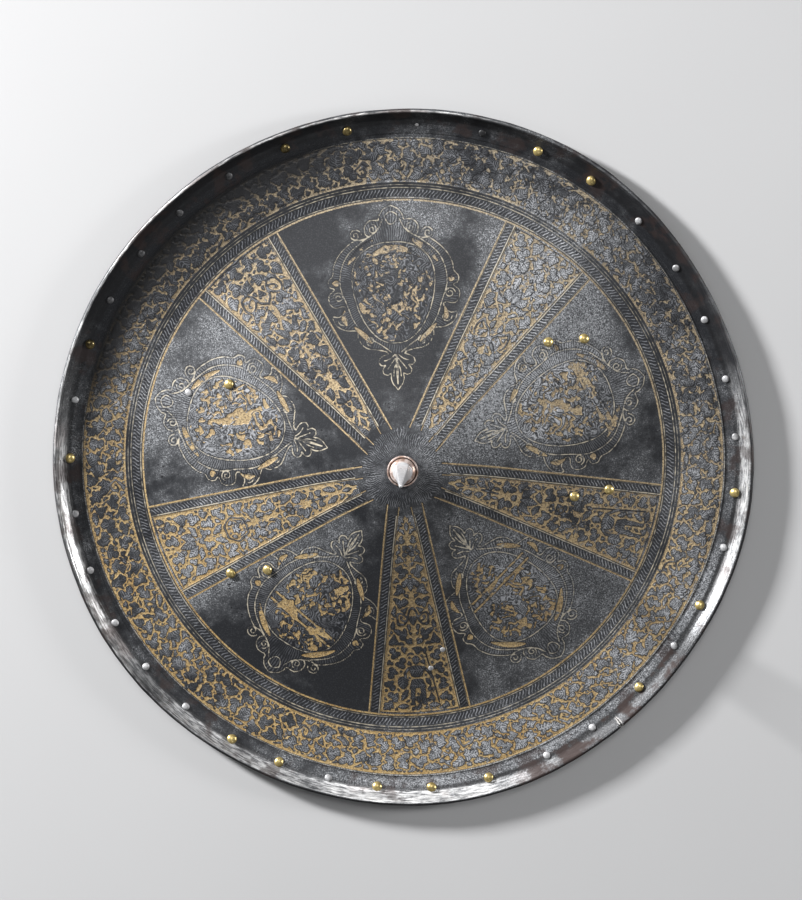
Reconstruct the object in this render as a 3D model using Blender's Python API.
"""A round steel shield (rondache) with a central spike, lying face up.

Metres, +Z up. The shield rests on the flat underside of its border ring at
z = 0. The origin is on the shield's axis, at the level of that underside.
+Y is the top of the shield as it is worn, +X its right as one faces it.
"""

import math

import bmesh
import bpy
from mathutils import Matrix, Vector
from mathutils.bvhtree import BVHTree

# ---------------------------------------------------------------- dimensions
PLATE_T = 0.0016        # thickness of the steel sheet
DOME_H = 0.052          # rise of the shallow conical dome above the border
DOME_R = 0.2145         # foot of the dome, just outside the inner gilt line
SEAT_R = 0.0145         # the dome's apex is beaten flat to seat the spike
BORDER_R = 0.2640       # outer edge of the level border
COVE_R = 0.2757         # end of the sloping band that holds the lining rivets
COVE_SLOPE = 0.28       # rise of that band per length
CREST_R = 0.2828        # crest of the turned-up rim
OUTER_R = 0.2850        # outermost radius of the rolled lip
CREST_Z = 0.0112        # height of the crest above the resting plane
LIP_R = 0.0021          # radius of the rolled lip's section
RIM_SEGMENTS = 64

SPIKE_X, SPIKE_Y = 0.0007, -0.0029   # the spike stands a little off centre
STEM_R = 0.0042         # stem of the spike through the plate
SPIKE_BASE_R = 0.0126   # moulded base disc of the spike
SPIKE_SIDE = 0.0058     # half the side of the square blade at its root
SPIKE_L = 0.076         # length of the blade above its base
SPIKE_TIP_R = 0.0013    # blunt tip
STEM_TAIL_R = 0.0080    # hammered-over end of the stem behind the plate

RIVET_HOLE_R = 0.00165
RIVET_SHANK_R = 0.00130
RIM_RIVET_R = 0.2712    # circle of the lining rivets
BRASS_HEAD_R, BRASS_HEAD_H = 0.0040, 0.0029
IRON_HEAD_R, IRON_HEAD_H = 0.0030, 0.0013
FLUSH_HEAD_R, FLUSH_HEAD_H = 0.0021, 0.0005
TAIL_R, TAIL_T = 0.0023, 0.0008
GAP = 0.0003            # clearance between touching pieces

CRACK_ANGLE = 309.2     # degrees: a split in the rolled rim
CRACK_W, CRACK_IN = 0.0009, 0.2795

# Rim rivets: (azimuth in degrees, counter-clockwise from +X; kind).
# One place, at 87.5 degrees, has lost its rivet and is an open hole.
RIM_RIVETS = (
    (3.9, "iron"), (14.1, "iron"), (25.0, "iron"), (35.2, "iron"),
    (45.5, "iron"), (56.1, "brass"), (66.4, "brass"), (76.3, "iron"),
    (99.4, "brass"), (110.4, "brass"), (121.2, "iron"), (131.8, "iron"),
    (141.5, "iron"), (151.2, "iron"), (159.6, "brass"), (169.6, "iron"),
    (179.8, "brass"), (189.5, "iron"), (199.7, "iron"), (209.8, "iron"),
    (219.1, "iron"), (228.9, "iron"), (238.7, "brass"), (247.8, "brass"),
    (256.8, "iron"), (265.4, "brass"), (274.8, "brass"), (284.8, "brass"),
    (295.6, "iron"), (304.9, "iron"), (315.7, "brass"), (325.2, "iron"),
    (333.6, "brass"), (344.5, "iron"), (354.2, "brass"),
)
EMPTY_RIVET_HOLE = 87.5

# Rivets of the arm straps and the pad, on the dome: name, x, y, kind.
FIELD_RIVETS = (
    ("strap_rivet_left_outer", -0.1738, 0.0555, "iron"),
    ("strap_rivet_left_inner", -0.1405, 0.0632, "brass"),
    ("strap_rivet_right_inner", 0.1180, 0.0975, "brass"),
    ("strap_rivet_right_outer", 0.1470, 0.0995, "brass"),
    ("strap_rivet_low_right_inner", 0.1393, -0.0282, "brass"),
    ("strap_rivet_low_right_outer", 0.1675, -0.0235, "brass"),
    ("strap_rivet_low_left_outer", -0.1402, -0.0925, "brass"),
    ("strap_rivet_low_left_inner", -0.1100, -0.0885, "brass"),
    ("pad_rivet_upper", 0.0322, -0.1550, "flush"),
    ("pad_rivet_lower", 0.0225, -0.1710, "flush"),
)

# Hand hammering left the outline a little out of round:
# (harmonic, amplitude as a share of the radius, phase in degrees).
OUT_OF_ROUND = ((1, 0.00148, 90.0), (2, 0.0040, 130.0), (3, 0.0024, 185.4),
                (4, 0.0018, -38.8), (5, 0.0030, -34.7), (6, 0.0014, -69.6))


# ---------------------------------------------------------------- geometry
def roundness(angle):
    """Factor on the outer radii at this azimuth, in radians."""
    return 1.0 + sum(a * math.cos(n * angle - math.radians(p))
                     for n, a, p in OUT_OF_ROUND)


def out_of_round(radius, angle):
    """The wobble fades in from the dome's foot to the rim."""
    u = min(max((radius - DOME_R) / (CREST_R - DOME_R), 0.0), 1.0)
    u = u * u * (3 - 2 * u)
    return radius * (1.0 + u * (roundness(angle) - 1.0))


def dome(radius):
    """Rise of the dome above the border at this radius."""
    u = max(radius, SEAT_R) / DOME_R
    return DOME_H * (1.0 - u ** 1.2) ** 1.15 if u < 1.0 else 0.0


def front(radius):
    """Height of the front face, out to the root of the turned-up flank."""
    rise = COVE_SLOPE * max(radius - BORDER_R, 0.0)
    return PLATE_T + dome(radius) + rise


def slope(radius):
    step = 0.0005
    return (front(radius + step) - front(radius - step)) / (2 * step)


def behind(radius):
    """The point of the back face behind the front point at this radius."""
    s = slope(radius)
    n = math.hypot(1.0, s)
    return radius + PLATE_T * s / n, front(radius) - PLATE_T / n


def material(name, colour, roughness, metallic=1.0):
    mat = bpy.data.materials.new(name)
    mat.use_nodes = True
    shader = mat.node_tree.nodes["Principled BSDF"]
    shader.inputs["Base Color"].default_value = (*colour, 1.0)
    shader.inputs["Roughness"].default_value = roughness
    shader.inputs["Metallic"].default_value = metallic
    return mat


def turned(name, profile, segments, mat, wobble=False):
    """A closed solid turned about Z from (radius, z) points listed from the
    top of the axis, down the outer side, to the bottom of the axis; or, if
    no point lies on the axis, a ring whose points go round its section."""
    bm = bmesh.new()
    closed = all(r > 1e-9 for r, _ in profile)
    rings = []
    for r, z in profile:
        if r <= 1e-9:
            rings.append([bm.verts.new((0, 0, z))])
            continue
        ring = []
        for i in range(segments):
            a = 2 * math.pi * i / segments
            rr = out_of_round(r, a) if wobble else r
            ring.append(bm.verts.new((rr * math.cos(a), rr * math.sin(a), z)))
        rings.append(ring)
    pairs = list(zip(rings, rings[1:]))
    if closed:
        pairs.append((rings[-1], rings[0]))
    for upper, lower in pairs:
        for i in range(segments):
            j = (i + 1) % segments
            if len(upper) == 1:
                bm.faces.new((upper[0], lower[i], lower[j]))
            elif len(lower) == 1:
                bm.faces.new((upper[i], lower[0], upper[j]))
            else:
                bm.faces.new((upper[i], lower[i], lower[j], upper[j]))
    bmesh.ops.recalc_face_normals(bm, faces=bm.faces)
    mesh = bpy.data.meshes.new(name)
    bm.to_mesh(mesh)
    bm.free()
    mesh.shade_smooth()
    mesh.set_sharp_from_angle(angle=math.radians(35))
    mesh.materials.append(mat)
    obj = bpy.data.objects.new(name, mesh)
    bpy.context.collection.objects.link(obj)
    return obj


def seat(surface, x, y):
    """Matrix that stands a local +Z axis on the plate's front at (x, y)."""
    reach = 0.0022
    place = surface.ray_cast(Vector((x, y, 0.2)), Vector((0, 0, -1)))[0]
    normal = Vector()
    for i in range(8):
        a = math.pi * i / 4
        start = Vector((x + reach * math.cos(a), y + reach * math.sin(a), 0.2))
        normal += surface.ray_cast(start, Vector((0, 0, -1)))[1]
    turn = Vector((0, 0, 1)).rotation_difference(
        normal.normalized()).to_matrix().to_4x4()
    return Matrix.Translation(place) @ turn


def plate_profile():
    """The section of the plate, out along the front and back inside."""
    hole = STEM_R + GAP
    dome_radii = [hole, SEAT_R, 0.026, 0.050, 0.085, 0.120, 0.155, 0.185, 0.203]
    radii = dome_radii + [DOME_R, 0.2300, BORDER_R, COVE_R]
    outer = [(r, front(r)) for r in radii]
    # the flank rises to the crest, and the lip rolls outward over and down
    centre = Vector((OUTER_R - LIP_R, CREST_Z - LIP_R))
    outer.append((0.2795, front(COVE_R) + 0.0032))
    for degrees in (135, 80, 25, -30, -85):
        a = math.radians(degrees)
        outer.append((centre.x + LIP_R * math.cos(a),
                      centre.y + LIP_R * math.sin(a)))
    # back face, from the lip's underside down to the border and inwards
    back = [(0.2806, front(COVE_R) + 0.0022)]
    back.append((0.2764, front(COVE_R) - 0.0014))
    back += [(BORDER_R + 0.0002, 0.0), (0.2300, 0.0), (DOME_R + 0.0006, 0.0)]
    for r in (0.203, 0.185, 0.155, 0.120, 0.085, 0.050, 0.026):
        back.append(behind(r))
    back += [(SEAT_R - 0.0003, front(0) - PLATE_T),
             (hole, front(0) - PLATE_T)]
    return outer + back


def cutter(name, meshes):
    """One wire object that holds several closed, separate cutting bodies."""
    bm = bmesh.new()
    for mesh, matrix in meshes:
        part = bmesh.new()
        part.from_mesh(mesh)
        bmesh.ops.transform(part, matrix=matrix, verts=part.verts)
        temp = bpy.data.meshes.new("temp")
        part.to_mesh(temp)
        part.free()
        bm.from_mesh(temp)
        bpy.data.meshes.remove(temp)
    mesh = bpy.data.meshes.new(name)
    bm.to_mesh(mesh)
    bm.free()
    obj = bpy.data.objects.new(name, mesh)
    bpy.context.collection.objects.link(obj)
    obj.hide_render = True
    obj.display_type = "WIRE"
    return obj


def prism(radius, length, sides=8):
    """A closed cylinder along Z, centred on the origin."""
    bm = bmesh.new()
    bmesh.ops.create_cone(bm, cap_ends=True, segments=sides, radius1=radius,
                          radius2=radius, depth=length)
    mesh = bpy.data.meshes.new("prism")
    bm.to_mesh(mesh)
    bm.free()
    return mesh


def block(dx, dy, dz):
    bm = bmesh.new()
    bmesh.ops.create_cube(bm, size=1.0)
    bmesh.ops.scale(bm, vec=(dx, dy, dz), verts=bm.verts)
    mesh = bpy.data.meshes.new("block")
    bm.to_mesh(mesh)
    bm.free()
    return mesh


def rivet(name, matrix, kind, mats):
    """Head, shank and hammered-over tail, in one solid."""
    if kind == "brass":
        r, h = BRASS_HEAD_R, BRASS_HEAD_H
    elif kind == "iron":
        r, h = IRON_HEAD_R, IRON_HEAD_H
    else:
        r, h = FLUSH_HEAD_R, FLUSH_HEAD_H
    seat_z = GAP
    under = -PLATE_T - GAP
    profile = [(0.0, seat_z + h), (0.68 * r, seat_z + 0.74 * h),
               (r, seat_z + 0.10 * h), (RIVET_SHANK_R, seat_z),
               (RIVET_SHANK_R, under), (TAIL_R, under),
               (0.75 * TAIL_R, under - TAIL_T), (0.0, under - TAIL_T)]
    mat = mats["brass" if kind == "brass" else "iron"]
    obj = turned(name, profile, 7, mat)
    obj.matrix_world = matrix
    return obj


def spike(mat):
    """Stem, moulded base disc and square tapering blade, in one solid."""
    sides = 16
    bm = bmesh.new()

    def ring(z, radius, square=0.0):
        """A circle that becomes a square with softened corners."""
        verts = []
        for i in range(sides):
            a = 2 * math.pi * (i + 0.5) / sides
            c, s = math.cos(a), math.sin(a)
            to_square = 1.0 / max(abs(c), abs(s))
            f = radius * ((1 - square) + square * min(to_square, 1.28))
            verts.append(bm.verts.new((f * c, f * s, z)))
        return verts

    top = front(0) + GAP
    tail = front(0) - PLATE_T - GAP
    levels = [ring(tail - 0.0022, STEM_TAIL_R * 0.72),
              ring(tail - 0.0012, STEM_TAIL_R), ring(tail, STEM_TAIL_R),
              ring(tail, STEM_R), ring(top, STEM_R),
              ring(top, SPIKE_BASE_R), ring(top + 0.0018, SPIKE_BASE_R),
              ring(top + 0.0028, 0.0107), ring(top + 0.0040, 0.0100),
              ring(top + 0.0062, 0.0080), ring(top + 0.0085, SPIKE_SIDE, 1.0),
              ring(top + 0.0085 + 0.5 * SPIKE_L, 0.60 * SPIKE_SIDE, 1.0),
              ring(top + 0.0085 + SPIKE_L - 0.001, SPIKE_TIP_R, 0.5)]
    for lower, upper in zip(levels, levels[1:]):
        for i in range(sides):
            j = (i + 1) % sides
            bm.faces.new((lower[i], lower[j], upper[j], upper[i]))
    for ring_verts, z in ((levels[0], tail - 0.0022),
                          (levels[-1], top + 0.0085 + SPIKE_L)):
        centre = bm.verts.new((0, 0, z))
        for i in range(sides):
            bm.faces.new((centre, ring_verts[i], ring_verts[(i + 1) % sides]))
    bmesh.ops.recalc_face_normals(bm, faces=bm.faces)
    mesh = bpy.data.meshes.new("spike")
    bm.to_mesh(mesh)
    bm.free()
    mesh.shade_smooth()
    mesh.set_sharp_from_angle(angle=math.radians(32))
    mesh.materials.append(mat)
    obj = bpy.data.objects.new("spike", mesh)
    bpy.context.collection.objects.link(obj)
    obj.location = (SPIKE_X, SPIKE_Y, 0.0)
    return obj


# ---------------------------------------------------------------- assembly
for old in list(bpy.data.objects):
    bpy.data.objects.remove(old, do_unlink=True)

steel = material("etched_steel", (0.13, 0.14, 0.155), 0.42)
bright = material("bright_steel", (0.55, 0.55, 0.56), 0.25)
brass = material("brass", (0.78, 0.60, 0.22), 0.25)
iron = material("iron", (0.36, 0.36, 0.36), 0.45)
mats = {"brass": brass, "iron": iron}

plate = turned("shield_plate", plate_profile(), RIM_SEGMENTS, steel, wobble=True)
# the dome's middle, with its stem hole, is shifted to carry the spike
for vert in plate.data.vertices:
    r = math.hypot(vert.co.x, vert.co.y)
    fade = max(0.0, 1.0 - r / 0.080)
    fade = fade * fade * (3 - 2 * fade) if r > STEM_R * 1.5 else 1.0
    vert.co.x += SPIKE_X * fade
    vert.co.y += SPIKE_Y * fade

surface = BVHTree.FromPolygons([v.co.copy() for v in plate.data.vertices],
                               [tuple(p.vertices) for p in plate.data.polygons])
seats = []
for number, (degrees, kind) in enumerate(RIM_RIVETS, 1):
    a = math.radians(degrees)
    radius = out_of_round(RIM_RIVET_R, a)
    seats.append((f"rim_rivet_{number:02d}",
                  seat(surface, radius * math.cos(a), radius * math.sin(a)),
                  kind))
for name, x, y, kind in FIELD_RIVETS:
    seats.append((name, seat(surface, x, y), kind))

hole = prism(RIVET_HOLE_R, 0.012)
cuts = [(hole, matrix) for _, matrix, _ in seats]
a = math.radians(EMPTY_RIVET_HOLE)
radius = out_of_round(RIM_RIVET_R, a)
cuts.append((hole, seat(surface, radius * math.cos(a),
                        radius * math.sin(a))))
a = math.radians(CRACK_ANGLE)
crack = Matrix.Rotation(a, 4, "Z") @ Matrix.Translation(
    (CRACK_IN + 0.005, 0, 0.007)) @ Matrix.Rotation(math.radians(18), 4, "Z")
cuts.append((block(0.0100, CRACK_W, 0.020), crack))
boolean = plate.modifiers.new("rivet_holes_and_split", "BOOLEAN")
boolean.operation = "DIFFERENCE"
boolean.object = cutter("hole_cutters", cuts)
boolean.solver = "EXACT"

spike(bright)
for name, matrix, kind in seats:
    rivet(name, matrix, kind, mats)
